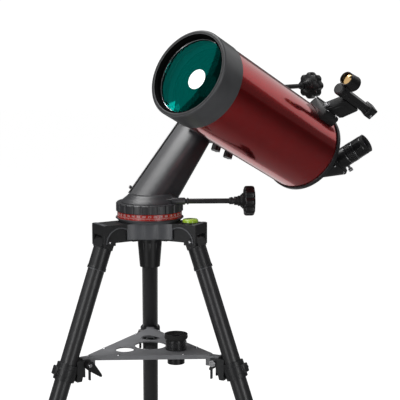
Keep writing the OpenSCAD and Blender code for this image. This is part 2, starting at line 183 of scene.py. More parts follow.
material("cast_grey", (0.110, 0.114, 0.124), 0.38, ior=1.6, grain=700, bump=0.04,
                      wear=0.45, wear_colour=(0.22, 0.22, 0.23))
material("black_metal", (0.019, 0.0195, 0.021), 0.36, grain=900, bump=0.02,
                        wear=0.40, wear_colour=(0.15, 0.15, 0.16))
material("arm_paint", (0.036, 0.037, 0.041), 0.38, ior=1.6, grain=1100, bump=0.025,
                      wear=0.3, wear_colour=(0.14, 0.14, 0.15))
material("leg_black", (0.026, 0.026, 0.028), 0.34, ior=1.6, grain=500, bump=0.02,
                      vary=0.15, stretch=(1, 1, 0.15))
material("bright_steel", (0.62, 0.62, 0.64), 0.22, 1.0, grain=1500, bump=0.008,
                         soft=0.0005)
material("steel_tube", (0.42, 0.42, 0.44), 0.28, 1.0, grain=900, bump=0.010,
                       stretch=(1, 1, 0.06))
material("level_green", (0.45, 0.72, 0.06), 0.20, coat=0.5, bump=0.0)
material("ring_satin", (0.085, 0.087, 0.092), 0.34, ior=1.6, grain=900, bump=0.02,
                       wear=0.3, wear_colour=(0.15, 0.15, 0.16))
material("rubber", (0.010, 0.010, 0.010), 0.72, grain=600, bump=0.06, sheen=0.1)
material("tray_grey", (0.240, 0.243, 0.255), 0.42, grain=800, bump=0.03, wear=0.25)
material("black_plastic", (0.009, 0.009, 0.010), 0.34, grain=1200, bump=0.02,
                          wear=0.2, wear_colour=(0.06, 0.06, 0.065))
material("red_scale", (0.50, 0.016, 0.010), 0.34, coat=0.3, bump=0.005, soft=0.0003)
material("brass", (0.60, 0.44, 0.18), 0.30, 1.0, bump=0.02)
material("tube_red", (0.52, 0.004, 0.007), 0.20, 0.93, coat=1.0, coat_rough=0.03,
                     grain=2600, bump=0.0, vary=0.05)
# painted shade: the mirror reflects only about a tenth, darkened for the dark tube round it rather
# than bright aluminium
material("mirror", (0.10, 0.11, 0.13), 0.03, 1.0, bump=0.0, vary=0.01)
material("baffle_black", (0.003, 0.003, 0.003), 0.9, ior=1.12, bump=0.02)
material("bar_red", (0.10, 0.006, 0.008), 0.32, coat=0.6, bump=0.01, wear=0.3)
material("eyepiece_black", (0.011, 0.011, 0.012), 0.26, grain=1400,
                           bump=0.012, wear=0.3)
material("white_ink", (0.80, 0.79, 0.77), 0.5, bump=0.0, soft=0.0001)
# painted light: the aluminised spot glows with emission strength 0.9 so it reads white, though it
# is no lamp
material("aluminised", (0.92, 0.92, 0.90), 0.35, 0.0, bump=0.0, vary=0.01, glow=0.9)
material("bubble_fluid", (0.62, 0.84, 0.14), 0.06, coat=1.0, bump=0.0)
material("pale_trim", (0.60, 0.61, 0.63), 0.18, 1.0, grain=1500, bump=0.004,
                      soft=0.0003)


def coated_glass(name, tint, body, reflect, rough=0.02):
    """See-through glass whose coating throws a tinted reflection."""
    m = MAT[name] = bpy.data.materials.new(name)
    m.use_nodes = True
    nt = m.node_tree
    nt.nodes.remove(nt.nodes["Principled BSDF"])
    out = nt.nodes["Material Output"]
    clear = nt.nodes.new("ShaderNodeBsdfTransparent")
    clear.inputs["Color"].default_value = (*body, 1)
    gloss = nt.nodes.new("ShaderNodeBsdfGlossy")
    gloss.inputs["Color"].default_value = (*tint, 1)
    gloss.inputs["Roughness"].default_value = rough
    mix = nt.nodes.new("ShaderNodeMixShader")
    mix.inputs["Fac"].default_value = reflect
    nt.links.new(clear.outputs[0], mix.inputs[1])
    nt.links.new(gloss.outputs[0], mix.inputs[2])
    nt.links.new(mix.outputs[0], out.inputs["Surface"])
    return m


coated_glass("coated_glass", (0.001, 0.52, 0.44), (0.56, 0.60, 0.60), 0.09)
coated_glass("finder_glass", (1.0, 0.66, 0.30), (0.10, 0.08, 0.06), 0.45)
coated_glass("eye_lens", (0.50, 0.42, 0.62), (0.12, 0.11, 0.14), 0.5)


# ---------------------------------------------------------------- mesh helpers
def piece(name, bm, mat, body, matrix=None, replaces=(), smooth=38):
    """Turns a bmesh, in millimetres in its own frame, into a named piece that rides on a body."""
    bmesh.ops.recalc_face_normals(bm, faces=bm.faces)
    me = bpy.data.meshes.new(name)
    bm.to_mesh(me)
    bm.free()
    me.transform(Matrix.Scale(MM, 4) @ (matrix or Matrix.Identity(4)))
    me.materials.append(MAT[mat])
    o = bpy.data.objects.new(name, me)
    bpy.context.scene.collection.objects.link(o)
    me.polygons.foreach_set("use_smooth", [True] * len(me.polygons))
    me.set_sharp_from_angle(angle=math.radians(smooth))
    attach(o, body)
    if replaces:
        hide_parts(*replaces)
    return o


def lathe(bm, profile, matrix=None, n=64, wave=None):
    """Revolves (radius, height) pairs about local Z; a radius of 0 closes the end."""
    loops = []
    for r, z in profile:
        if r < 1e-6:
            loops.append([bm.verts.new((0, 0, z))])
            continue
        ring = []
        for i in range(n):
            a = 2 * math.pi * i / n
            k = wave(a, r, z) if wave else 1.0
            ring.append(bm.verts.new((r * k * math.cos(a), r * k * math.sin(a), z)))
        loops.append(ring)
    for a, b in zip(loops, loops[1:]):
        for i in range(n):
            j = (i + 1) % n
            if len(a) == 1 and len(b) == 1:
                break
            if len(a) == 1:
                bm.faces.new((a[0], b[i], b[j]))
            elif len(b) == 1:
                bm.faces.new((a[i], a[j], b[0]))
            else:
                bm.faces.new((a[i], a[j], b[j], b[i]))
    if matrix is not None:
        bmesh.ops.transform(bm, matrix=matrix, verts=[v for ring in loops for v in ring])
    return bm


def mm(matrix):
    """The same placement with its shift in millimetres, for use inside a piece's own frame."""
    m = matrix.copy()
    m.translation = m.translation / MM
    return m


def closed(profile):
    """A ring-shaped lathe profile that comes back to its start."""
    return [*profile, profile[0]]


def prism(bm, outline, depth, matrix=None, bevel=0.0, steps=2):
    """Extrudes an XY outline by depth along +Z and rounds its edges."""
    low = [bm.verts.new((x, y, 0)) for x, y in outline]
    high = [bm.verts.new((x, y, depth)) for x, y in outline]
    n = len(outline)
    made = [bm.faces.new(low[::-1]), bm.faces.new(high)]
    for i in range(n):
        j = (i + 1) % n
        made.append(bm.faces.new((low[i], low[j], high[j], high[i])))
    verts = low + high
    if bevel:
        edges = list(dict.fromkeys(e for f in made for e in f.edges))
        got = bmesh.ops.bevel(bm, geom=edges, offset=bevel, segments=steps, profile=0.5,
                              affect="EDGES", clamp_overlap=True)
        verts = [v for f in got["faces"] for v in f.verts] + [v for v in verts if v.is_valid]
        verts = list(dict.fromkeys(verts))
    if matrix is not None:
        bmesh.ops.transform(bm, matrix=matrix, verts=verts)
    return bm


def block(bm, lo, hi, matrix=None, bevel=0.8, steps=2):
    """A box between two corners with rounded edges."""
    m = Matrix.Translation((lo[0], lo[1], lo[2]))
    m = (matrix @ m) if matrix is not None else m
    w, d, h = (hi[k] - lo[k] for k in range(3))
    return prism(bm, [(0, 0), (w, 0), (w, d), (0, d)], h, m, bevel, steps)


def shift(x, y, z):
    """A shift inside a piece's own frame, which is in millimetres."""
    return Matrix.Translation((x, y, z))


def rounded(r, z0, z1, edge, inner, steps=4):
    """Closed profile of a bush with rounded outer edges."""
    pts = [(inner, z0)]
    for i in range(steps + 1):
        a = math.pi / 2 * i / steps
        pts.append((r - edge + edge * math.sin(a), z0 + edge - edge * math.cos(a)))
    for i in range(steps + 1):
        a = math.pi / 2 * i / steps
        pts.append((r - edge + edge * math.cos(a), z1 - edge + edge * math.sin(a)))
    pts.append((inner, z1))
    return closed(pts)


# ---------------------------------------------------------------- CAD nodes
# nodes that look different from the record's slot for them
PAINT = {"front_ring": "ring_satin", "azimuth_rod": "black_metal", "altitude_rod": "black_metal",
         "pivot_bolts": "black_metal", "hub": "black_metal", "azimuth_base": "cast_grey",
         "turntable": "arm_paint"}
for sub in RECORD["subparts"]:
    node = NODES[sub["node"]]
    node.data.materials.clear()
    node.data.materials.append(MAT[PAINT.get(sub["node"], sub["material_slot"])])


# ---------------------------------------------------------------- arm
def support(circles, shrink, n=96):
    """Outline round circles (x, z, r), each radius less shrink, with one point per direction."""
    pts = []
    for i in range(n):
        a = 2 * math.pi * (i + 0.5) / n
        c = max(circles, key=lambda k: k[0] * math.cos(a) + k[1] * math.sin(a) + k[2])
        r = c[2] - shrink
        pts.append((c[0] + r * math.cos(a), c[1] + r * math.sin(a)))
    return pts


def slab(bm, circles, loops, matrix):
    """Lofts the hull outline through (y, shrink) loops and caps both ends."""
    rings = []
    for y, shrink in loops:
        rings.append([bm.verts.new((x, y, z)) for x, z in support(circles, shrink)])
    for a, b in zip(rings, rings[1:]):
        for i in range(len(a)):
            j = (i + 1) % len(a)
            bm.faces.new((a[i], a[j], b[j], b[i]))
    bm.faces.new(rings[0])
    bm.faces.new(rings[-1][::-1])
    bmesh.ops.transform(bm, matrix=matrix, verts=[v for r in rings for v in r])


def cut_below(bm, z):
    """Cuts a bmesh flat at height z and closes the cut."""
    geom = bm.verts[:] + bm.edges[:] + bm.faces[:]
    got = bmesh.ops.bisect_plane(bm, geom=geom, plane_co=(0, 0, z), plane_no=(0, 0, -1),
                                 clear_outer=True)
    edges = [e for e in got["geom_cut"] if isinstance(e, bmesh.types.BMEdge)]
    bmesh.ops.edgeloop_fill(bm, edges=edges)


# x, z and radius of the circles that the arm's side outline wraps round
ARM_CIRCLES = [(-20, 258, 26), (13, 258, 26), (-REACH, RISE, 28)]


def quarter(y0, y1, r0, r1, steps=8):
    """Loops of (y, shrink) for an edge rounded from y0, shrink r0 to y1, shrink r1."""
    out = []
    for i in range(steps + 1):
        a = math.pi / 2 * i / steps
        out.append((y0 + (y1 - y0) * math.sin(a), r0 + (r1 - r0) * (1 - math.cos(a))))
    return out


PLATE_CUT = 284.6        # the cover plate ends above the flared foot
arm = bmesh.new()
slab(arm, ARM_CIRCLES, [(-29, 1.6), (-27.4, 0)] + quarter(-16, 29, 0, 24, 14), Matrix.Identity(4))
cut_below(arm, 270)
# flared foot, D-shaped housing of the altitude sector, its collar, then the two worm housings
lathe(arm, closed([(26, 270), (52.6, 270), (52.9, 270.6), (52.2, 271.6), (46, 276.6), (41.5, 280.2),
                   (38.4, 283.4), (37, 284), (26, 284)]), n=96)
housing = []
for radius, first, last in ((56.8, -4, 184), (39.8, 188, 352)):
    for i in range(41):
        a = math.radians(first + (last - first) * i / 40)
        housing.append((radius * math.cos(a), -radius * math.sin(a)))
prism(arm, housing, 47.6, shift(-REACH, 2.2, RISE) @ Y_AXIS, 3.0, 3)
lathe(arm, closed([(20, 50), (34, 50), (34, 51), (33, 51.6), (21, 51.6), (20, 51)]),
      shift(-REACH, 0, RISE) @ Y_AXIS, n=96)
worm = shift(-REACH, ALT_WORM_AT[1], RISE + ALT_WORM_AT[2])
lathe(arm, rounded(12, -34, 40, 3, inner=5), worm @ X_AXIS, n=40)
lathe(arm, closed([(5, -58), (8, -58), (9, -57), (9, -30), (5, -30)]), worm @ X_AXIS, n=32)
boss = turn(WORM_SIDE, "Z") @ shift(*AZ_WORM_AT)
lathe(arm, closed([(5, 40), (6.6, 40), (6.6, 62.6), (5.8, 64), (5, 64)]), boss @ X_AXIS, n=32)
piece("arm_shell", arm, "arm_paint", "turret", mm(HEAD), ["arm"])

cover = bmesh.new()
slab(cover, ARM_CIRCLES, [(-34.5, 2.2), (-33.2, 0.3), (-32.2, -0.6), (-29.6, -0.6), (-29.0, 0.6)],
     Matrix.Identity(4))
cut_below(cover, PLATE_CUT)
piece("arm_cover_plate", cover, "black_metal", "turret", mm(HEAD), ["arm_cover"])


def cap_screw(bm, matrix, r=3.4, h=2.4):
    """A socket cap screw head with its hexagon socket."""
    lathe(bm, [(0, 0), (r, 0), (r, h - 0.5), (r - 0.5, h), (r * 0.55, h), (r * 0.5, h - 1.4),
               (0, h - 1.4)], matrix, n=24,
          wave=lambda a, rr, z: 1.0 if rr > r * 0.56 else 0.93 + 0.07 * math.cos(6 * a))


screws = bmesh.new()
for x, z in ((-168, 420), (-132, 420), (-150, 386), (-96, 352), (-60, 322), (-34, 296), (14, 294)):
    cap_screw(screws, shift(x, -34.3, z) @ turn(math.radians(90), "X"), 3.2)
piece("arm_cover_screws", screws, "bright_steel", "turret", mm(HEAD))


# ---------------------------------------------------------------- slow-motion knobs and rods
def lobed_knob(name, body, matrix, node, start, thick=20.0, radius=27.0):
    """Eight-lobed hand knob on a stepped conical hub; start is the knob's near face on the rod."""
    bm = bmesh.new()

    def lobes(a, r, z):
        k = max(0.0, min(1.0, (r - 15) / 9))
        return 1 - 0.135 * k * (0.5 - 0.5 * math.cos(8 * a)) ** 1.6
    profile = [(4.7, -17), (7.4, -17), (7.8, -16.4), (7.8, -11), (9.4, -10), (9.4, -6.4),
               (11.6, -5), (12.0, -3.6), (14.0, -2.6), (14.2, -0.4), (18, 0.2), (radius - 3.4, 0.6),
               (radius - 1.5, 1.5), (radius - 0.3, 3.4), (radius, 5.6), (radius, thick - 5.6),
               (radius - 0.3, thick - 3.4), (radius - 1.5, thick - 1.5),
               (radius - 3.4, thick - 0.5), (19, thick), (16.5, thick - 0.2), (15.6, thick - 1.6),
               (10, thick - 1.8), (0, thick - 1.8)]
    lathe(bm, profile, X_AXIS, n=192, wave=lobes)
    bmesh.ops.transform(bm, matrix=shift(start, 0, 0), verts=bm.verts)
    piece(name, bm, "black_plastic", body, mm(matrix), [node])


lobed_knob("azimuth_hand_knob", "azimuth_drive", AZ_WORM, "azimuth_knob", 169)
lobed_knob("altitude_hand_knob", "altitude_drive", ALT_WORM @ turn(math.pi, "Z"), "altitude_knob",
           263.5)


def rod_dressing(name, body, matrix, first, last):
    """Hub collar, grub screw and dust washer on a slow-motion rod."""
    bm = bmesh.new()
    lathe(bm, closed([(4.66, first), (6.2, first), (6.2, first + 1.6), (5.6, first + 2.4),
                      (4.66, first + 2.4)]),
          X_AXIS, n=32)
    lathe(bm, closed([(4.66, last), (5.8, last), (6.2, last + 0.6), (6.2, last + 7.4),
                      (5.8, last + 8), (4.66, last + 8)]), X_AXIS, n=32)
    cap_screw(bm, shift(last + 4, 0, 5.8), 1.7, 1.2)
    piece(name, bm, "black_metal", body, mm(matrix))


rod_dressing("azimuth_rod_collars", "azimuth_drive", AZ_WORM, 67.5, 143)
rod_dressing("altitude_rod_collars", "altitude_drive", ALT_WORM @ turn(math.pi, "Z"), 60, 237)


# ---------------------------------------------------------------- setting circle marks
CIRCLE_FACE = 58.72      # just inside the red band's surface, so the print stands slightly proud
PEN = 0.24
MARK_TOP, LONG_MARK, SHORT_MARK = 247.2, 244.0, 245.3
marks = bmesh.new()
for i in range(180):
    low = LONG_MARK if i % 5 == 0 else SHORT_MARK
    block(marks, (0, -PEN, low), (0.2, PEN, MARK_TOP),
          turn(math.radians(2 * i), "Z") @ shift(CIRCLE_FACE, 0, 0),
          bevel=0.0)
piece("circle_marks", marks, "white_ink", "circle", mm(TRIPOD))

# which of the seven strokes make each digit, and each stroke's ends
SEGMENTS = {"0": "abcdef", "1": "bc", "2": "abged", "3": "abgcd", "4": "fgbc", "5": "afgcd",
            "6": "afgedc", "7": "abc", "8": "abcdefg", "9": "abcdfg"}
STROKES = {"a": (0, 2, 1, 2), "b": (1, 1, 1, 2), "c": (1, 0, 1, 1), "d": (0, 0, 1, 0),
           "e": (0, 0, 0, 1), "f": (0, 1, 0, 2), "g": (0, 1, 1, 1)}
DIGIT_W, DIGIT_H, DIGIT_STEP, DIGIT_LOW, STROKE = 1.15, 1.4, 2.0, 248.7, 0.2
numbers = bmesh.new()
for i in range(36):
    label = str(10 * i)
    for k, digit in enumerate(label):
        off = (k - (len(label) - 1) / 2) * DIGIT_STEP
        for stroke in SEGMENTS[digit]:
            x0, z0, x1, z1 = STROKES[stroke]
            lo = (0, off + (x0 - 0.5) * DIGIT_W - STROKE, DIGIT_LOW + z0 * DIGIT_H - STROKE)
            hi = (0.2, off + (x1 - 0.5) * DIGIT_W + STROKE, DIGIT_LOW + z1 * DIGIT_H + STROKE)
            block(numbers, lo, hi, turn(math.radians(10 * i), "Z") @ shift(CIRCLE_FACE, 0, 0),
                  bevel=0.0)
piece("circle_numbers", numbers, "white_ink", "circle", mm(TRIPOD))

trim = bmesh.new()
lathe(trim, closed([(59.6, 240.9), (61.9, 241.0), (61.9, 242.0), (60.4, 242.3), (59.6, 242.2)]),
      n=96)
piece("base_lip", trim, "black_metal", "tripod_head", mm(TRIPOD))


# ---------------------------------------------------------------- hub castings and legs
def arc_band(bm, inner, outer, first, last, depth, matrix, bevel, n=28):
    """A flat curved strip between two radii, in degrees, thickened along local +Z."""
    angles = [math.radians(first + (last - first) * i / n) for i in range(n + 1)]
    pts = [(outer * math.cos(a), outer * math.sin(a)) for a in angles]
    pts += [(inner * math.cos(a), inner * math.sin(a)) for a in reversed(angles)]
    prism(bm, pts, depth, matrix, bevel, 2)


# from a leg's plane: just inside the lug sides, and where the pivot caps sit; then a radius just
# outside the leg's upper tube
LUG_FACE, PIN_FACE, LEG_R = 22.9, 20.5, 15.35
for leg in LEGS:
    bm = bmesh.new()
    for side in (-1, 1):
        face = shift(74, side * LUG_FACE, 203) @ turn(math.radians(-90 * side), "X")
        arc_band(bm, 26.1, 28.3, 0, -124 * side, 1.3, face, 0.5)
    block(bm, (98, -21.5, 235.6), (105, 21.5, 236.9), bevel=0.5)
    piece(f"lug_frame_{leg}", bm, "cast_grey", "tripod_head", mm(radial(leg)))
    bolts = bmesh.new()
    for side in (-1, 1):
        lathe(bolts, [(0, 0), (2.7, 0), (2.7, 0.5), (2.2, 1.1), (1.2, 1.5), (0, 1.6)],
              shift(0, side * PIN_FACE, -13.8) @ turn(math.radians(-90 * side), "X"), n=28)
    piece(f"pivot_caps_{leg}", bolts, "bright_steel", "tripod_head",
          mm(leg_frame(leg)))
    line = bmesh.new()
    lathe(line, closed([(LEG_R, -65.2), (17.2, -65.2), (17.4, -65.7), (17.2, -66.3),
                        (LEG_R, -66.3)]), n=64)
    piece(f"leg_head_lip_{leg}", line, "cast_grey", f"leg_{leg}", mm(leg_frame(leg)))
    band = bmesh.new()
    lathe(band, closed([(19.3, -249), (20.0, -249.6), (20.0, -262.4), (19.3, -263)]), n=56)
    block(band, (17, -7, -264), (24.5, 7, -248), bevel=1.2)
    cap_screw(band, shift(21, 7, -256) @ turn(math.radians(-90), "X"), 3.0, 2.4)
    piece(f"bracket_band_{leg}", band, "black_metal", f"leg_{leg}",
          mm(leg_frame(leg)))

WEB_R, WEB_X, WEB_Y = 40, 59.1, 63          # each web is hollowed by an arc about this centre
drum = bmesh.new()
lathe(drum, closed([(44, 207), (45.7, 206.6), (46.3, 207.4), (46.4, 209), (46.4, 234.6),
                    (46.0, 235.6), (44, 235.6)]),
      n=112)
for angle in LEGS.values():                 # webs that blend the drum into the lug sides
    for side in (-1, 1):
        web = [(WEB_X - WEB_R * math.sin(t), WEB_Y - WEB_R * math.cos(t))
               for t in (math.radians(4.3 * i) for i in range(11))]
        web = [(x, side * y) for x, y in [*web, (31.0, 33.0), (30, 20), (WEB_X, 20)]]
        prism(drum, web, 28.4, turn(angle, "Z") @ shift(0, 0, 206.8), 0.6, 2)
piece("hub_drum", drum, "cast_grey", "tripod_head", mm(TRIPOD))

LEVEL_AT, DOME_TOP = 84, 244.0              # the bubble level, out along the right lug
level = bmesh.new()
lathe(level, closed([(10.2, 241.6), (13.3, 241.6), (13.5, 242.6), (12.8, 243.4), (10.6, 243.4),
                     (10.2, 243.0)]),
      shift(LEVEL_AT, 0, 0), n=56)
piece("level_bezel", level, "level_green", "tripod_head", mm(radial(3)))
dome = bmesh.new()
lathe(dome, [(10.25, 242.5), (9.9, 243.0), (7.5, 243.6), (4, 243.9), (0, DOME_TOP)],
      shift(LEVEL_AT, 0, 0), n=48)
piece("level_dome", dome, "bubble_fluid", "tripod_head", mm(radial(3)))
bubble = bmesh.new()
lathe(bubble, closed([(2.6, 243.9), (2.9, 244.2), (3.2, 243.9), (2.9, 243.7)]), shift(83, 1, 0),
      n=28)
piece("level_target_ring", bubble, "black_plastic", "tripod_head", mm(radial(3)))


# ---------------------------------------------------------------- tray
fixings = bmesh.new()
for angle in LEGS.values():
    for side in (-1, 1):
        c = turn(angle + math.radians(60), "Z") @ shift(64.5, side * 58, 0)
        lathe(fixings, [(0, 0), (2.8, 0), (2.6, 0.9), (1.6, 1.6), (0, 1.8)], c, n=20)
piece("tray_rivets", fixings, "bright_steel", "tray_unit", mm(TRIPOD))
rims = bmesh.new()
HOLE_AT = 54                                # the small holes, from the middle of the tray
for angle in LEGS.values():
    c = turn(angle, "Z") @ shift(HOLE_AT, 0, 0)
    lathe(rims, closed([(17.25, -1.9), (17.25, 0.5), (17.7, 0.75), (18.6, 0.35), (18.8, 0.02),
                        (18.4, 0.02)]), c, n=56)
lathe(rims, closed([(28.85, -1.9), (28.85, 0.5), (29.4, 0.75), (30.4, 0.35), (30.6, 0.02),
                    (30.2, 0.02)]), n=72)
piece("tray_hole_rims", rims, "tray_grey", "tray_unit", mm(TRIPOD))

WING_X, WING_Z = 137, -12                   # the bolt that a wing lever turns on
for leg in LEGS:
    bm = bmesh.new()
    m = shift(WING_X, 14.2, WING_Z) @ turn(math.radians(-90), "X")
    lathe(bm, [(0, 9.4), (3.4, 9.4), (3.4, 10.4), (2.9, 11.0), (0, 11.0)], m, n=28)
    piece(f"wing_cap_{leg}", bm, "bright_steel", f"wing_{leg}", mm(radial(leg)))
    wing = bmesh.new()
    lathe(wing, closed([(3.1, 0), (7.6, 0), (8.0, 0.5), (7.2, 6.8), (6.4, 9.3), (3.1, 9.3)]), m,
          n=40)
    half = [(7.3 * (1 - i / 12) ** 0.8 + 1.5, 34 * i / 12) for i in range(13)]
    outline = half + [(-w, t) for w, t in reversed(half)]
    prism(wing, outline, 4.6, shift(WING_X, 17.4, WING_Z) @ turn(math.radians(-90), "X") @
          turn(math.radians(45), "Z"), 1.2, 3)
    piece(f"wing_handle_{leg}", wing, "black_plastic", f"wing_{leg}",
          mm(radial(leg)),
          [f"wing_lever_{leg}"])

spare = bmesh.new()
lathe(spare, closed([(19.0, 0.4), (19.5, 0.9), (19.5, 4.0), (19.1, 4.4), (18.7, 4.4), (18.7, 0.4)]),
      n=64)
for i in range(5):
    z = 6.2 + 1.9 * i
    lathe(spare, closed([(18.8, z), (19.35, z + 0.3), (19.35, z + 1.0), (18.8, z + 1.3)]), n=64)
piece("spare_eyepiece_rings", spare, "eyepiece_black", "spare",
      mm(radial(3) @ move(HOLE_AT, 0, 0)))
lens = bmesh.new()
lathe(lens, [(12.9, 22.2), (12, 22.9), (8, 23.8), (4, 24.2), (0, 24.3)], n=48)
piece("spare_eye_lens", lens, "eye_lens", "spare",
      mm(radial(3) @ move(HOLE_AT, 0, 0)))

# ---------------------------------------------------------------- telescope tube
FRONT, REAR = 237, -117                     # the tube's front and rear rims, along its axis
BORE, SKIN = 68.38, 77.62                   # radii just inside the front bore and outside the tube
LENS_R, LENS_THICK, LENS_BACK, LENS_SAG = 68.3, 12, 38, 440      # the sag is r * r / LENS_SAG
SPOT_R = 17.8
ring = bmesh.new()
lathe(ring, closed([(66.4, FRONT - 15.6), (68.35, FRONT - 15.6), (68.35, FRONT - 12.4),
                    (67.9, FRONT - 12.0), (66.9, FRONT - 12.0),
                    (66.4, FRONT - 12.5)]), X_AXIS, n=128)
piece("retaining_ring", ring, "pale_trim", "telescope", mm(OTA))
lip = bmesh.new()
lathe(lip, closed([(68.42, FRONT - 11.8), (68.9, FRONT - 11.8), (69.6, FRONT - 5),
                   (68.42, FRONT - 5)]),
      X_AXIS, n=128)
piece("front_ring_step", lip, "black_metal", "telescope", mm(OTA))
liner = bmesh.new()
lathe(liner, closed([(67.9, FRONT - 11.6), (BORE, FRONT - 11.6), (BORE, FRONT - 4.0),
                     (71.9, FRONT + 0.05), (71.3, FRONT + 0.1),
                     (67.9, FRONT - 3.9)]), X_AXIS, n=128)
piece("front_ring_liner", liner, "baffle_black", "telescope", mm(OTA))
rim = bmesh.new()
lathe(rim, closed([(72.6, FRONT - 0.6), (76.4, FRONT - 0.6), (76.9, FRONT - 0.2),
                   (76.2, FRONT + 0.25), (73.2, FRONT + 0.25), (72.4, FRONT - 0.1)]), X_AXIS, n=128)
piece("front_rim_bead", rim, "black_metal", "telescope", mm(OTA))
seam = bmesh.new()
lathe(seam, closed([(SKIN, FRONT - 49.4), (78.3, FRONT - 49.3), (78.5, FRONT - 48.9),
                    (SKIN, FRONT - 48.9)]),
      X_AXIS, n=128)
lathe(seam, closed([(SKIN, REAR + 8.2), (78.6, REAR + 8.2), (79.6, REAR + 7.8),
                    (SKIN, REAR + 7.8)]), X_AXIS, n=128)
piece("tube_seams", seam, "black_metal", "telescope", mm(OTA))
lens = bmesh.new()
curve = [(LENS_R * i / 16, (LENS_R * i / 16) ** 2 / LENS_SAG) for i in range(17)]
lathe(lens, [(r, FRONT - LENS_BACK + h) for r, h in curve] +
      [(r, FRONT - LENS_BACK + LENS_THICK + h) for r, h in reversed(curve)], X_AXIS, n=128)
piece("corrector_lens", lens, "coated_glass", "telescope", mm(OTA), ["corrector"])
spot = bmesh.new()
dish = [(SPOT_R * i / 6, FRONT - 25.98 + (SPOT_R * i / 6) ** 2 / LENS_SAG) for i in range(7)]
lathe(spot, dish + [(SPOT_R, FRONT - 25.0), (SPOT_R - 0.4, FRONT - 24.9)] +
      [(r, x + 0.35) for r, x in dish[-2::-1]], X_AXIS, n=96)
piece("secondary_mirror", spot, "aluminised", "telescope", mm(OTA),
      ["secondary_spot"])
inside = bmesh.new()                        # matt lining with rings that trap stray light
lining = [(75.9, REAR + 18), (75.9, FRONT - 44), (75.1, FRONT - 44)]
BAFFLE_FIRST, BAFFLE_STEP = 60, 12
for k in range(10, -1, -1):
    x = BAFFLE_FIRST + BAFFLE_STEP * k
    lining += [(75.1, x + 1.4), (73.4, x + 0.9), (73.4, x), (75.1, x - 0.4)]
lining.append((75.1, REAR + 18))
lathe(inside, closed(lining), X_AXIS, n=96)
piece("tube_lining", inside, "baffle_black", "telescope", mm(OTA))

cell = bmesh.new()
for count, first, ring_r, head_r, head_h in ((6, 20, 70, 2.6, 1.8), (3, 60, 46, 3.4, 2.6)):
    for i in range(count):
        a = math.radians(360 / count * i + first)
        at = shift(REAR - 2.2, ring_r * math.cos(a), ring_r * math.sin(a))
        cap_screw(cell, at @ turn(math.radians(-90), "Y"), head_r, head_h)
piece("cell_screws", cell, "bright_steel", "telescope", mm(OTA))
dish = bmesh.new()
lathe(dish, closed([(35, REAR - 2.1), (39, REAR - 2.1), (39, REAR - 3.2), (37.6, REAR - 4),
                    (36.2, REAR - 4), (35, REAR - 3)]),
      X_AXIS, n=96)
lathe(dish, closed([(60, REAR - 2.1), (64, REAR - 2.1), (64, REAR - 3.0), (62.8, REAR - 3.6),
                    (61.2, REAR - 3.6), (60, REAR - 3)]),
      X_AXIS, n=96)
piece("cell_steps", dish, "black_metal", "telescope", mm(OTA))
back = bmesh.new()
for k in range(10):
    x = REAR - 17.4 + 0.75 * k              # fine ridges round the visual back
    lathe(back, closed([(26.02, x), (26.5, x + 0.2), (26.5, x + 0.4), (26.02, x + 0.6)]), X_AXIS,
          n=72)
lathe(back, closed([(21.05, REAR - 39), (22.2, REAR - 38.6), (22.2, REAR - 36),
                    (21.05, REAR - 35.6)]), X_AXIS, n=72)
piece("visual_back_rings", back, "black_metal", "telescope", mm(OTA))


def thumbscrew(bm, matrix, r=5.2, shaft=2.2, gap=6.0, head=7.0):
    """Knurled thumbscrew standing along local +Z."""
    lathe(bm, [(0, 0), (shaft, 0), (shaft, gap), (r - 0.8, gap), (r, gap + 0.8),
               (r, gap + head - 0.8), (r - 0.8, gap + head), (r * 0.5, gap + head),
               (r * 0.45, gap + head - 0.6), (0, gap + head - 0.6)],
          matrix, n=72, wave=lambda a, rr, z: 1 + (0.035 * math.cos(24 * a) if rr > r - 0.5 else 0))


screws = bmesh.new()
thumbscrew(screws, shift(REAR - 31, 0, 0) @ turn(math.radians(-60), "X") @ shift(0, 0, 30.8), 5.4,
           3.0, 0.2, 6.0)
piece("visual_back_thumbscrew", screws, "bright_steel", "telescope", mm(OTA))
focus = bmesh.new()
lathe(focus, closed([(6, REAR - 30), (11.4, REAR - 30), (12.2, REAR - 30.8), (9, REAR - 31.4),
                     (6, REAR - 31.2)]), X_AXIS, n=48)
piece("focus_knob_cap", focus, "pale_trim", "focuser", mm(OTA @ move(0, -30, -36)))
dove = bmesh.new()
for x in (-74, 84):
    cap_screw(dove, shift(x, 61.9, 0) @ turn(math.radians(90), "X"), 3.6, 2.0)
piece("dovetail_screws", dove, "bright_steel", "telescope", mm(SADDLE))
sad = bmesh.new()
for x in (-22, 22):
    cap_screw(sad, shift(x, 64, 33.6), 3.4, 2.4)
for z in (24, -33):
    block(sad, (-49, 71.2, z), (49, 72.4, z + 9), bevel=0.5)
piece("saddle_trim", sad, "black_metal", "cradle", mm(SADDLE))

# ---------------------------------------------------------------- diagonal and eyepiece
diag = bmesh.new()
lathe(diag, closed([(14, 20), (15.87, 20), (15.87, 34), (15.3, 34.6), (15.3, 38), (15.87, 38.6),
                    (15.87, 71.2), (15.4, 72), (14, 72)]), X_AXIS, n=64)
body = [(24, -24), (24, 24), (-19, 24), (-24, 19), (-24, 14), (14, -24)]
prism(diag, body, 36, shift(0, 18, 0) @ turn(math.radians(90), "X"), 1.6, 3)
for side in (-1, 1):
    plate = [(22.4, -21.8), (22.4, 22.4), (-18, 22.4), (-22.2, 18), (-22.2, 15), (13, -21.8)]
    m = shift(0, 20.2 if side > 0 else -18.0, 0) @ turn(math.radians(90), "X")
    prism(diag, plate, 2.2, m, 0.6, 2)
lathe(diag, closed([(16.05, 23.5), (18.4, 23.5), (18.4, 27.5), (19.0, 28), (19.0, 43.0), (18.4, 44),
                    (16.05, 44)]), n=72)
piece("diagonal_body", diag, "black_plastic", "star_diagonal", mm(DIAGONAL),
      ["diagonal"])
fix = bmesh.new()
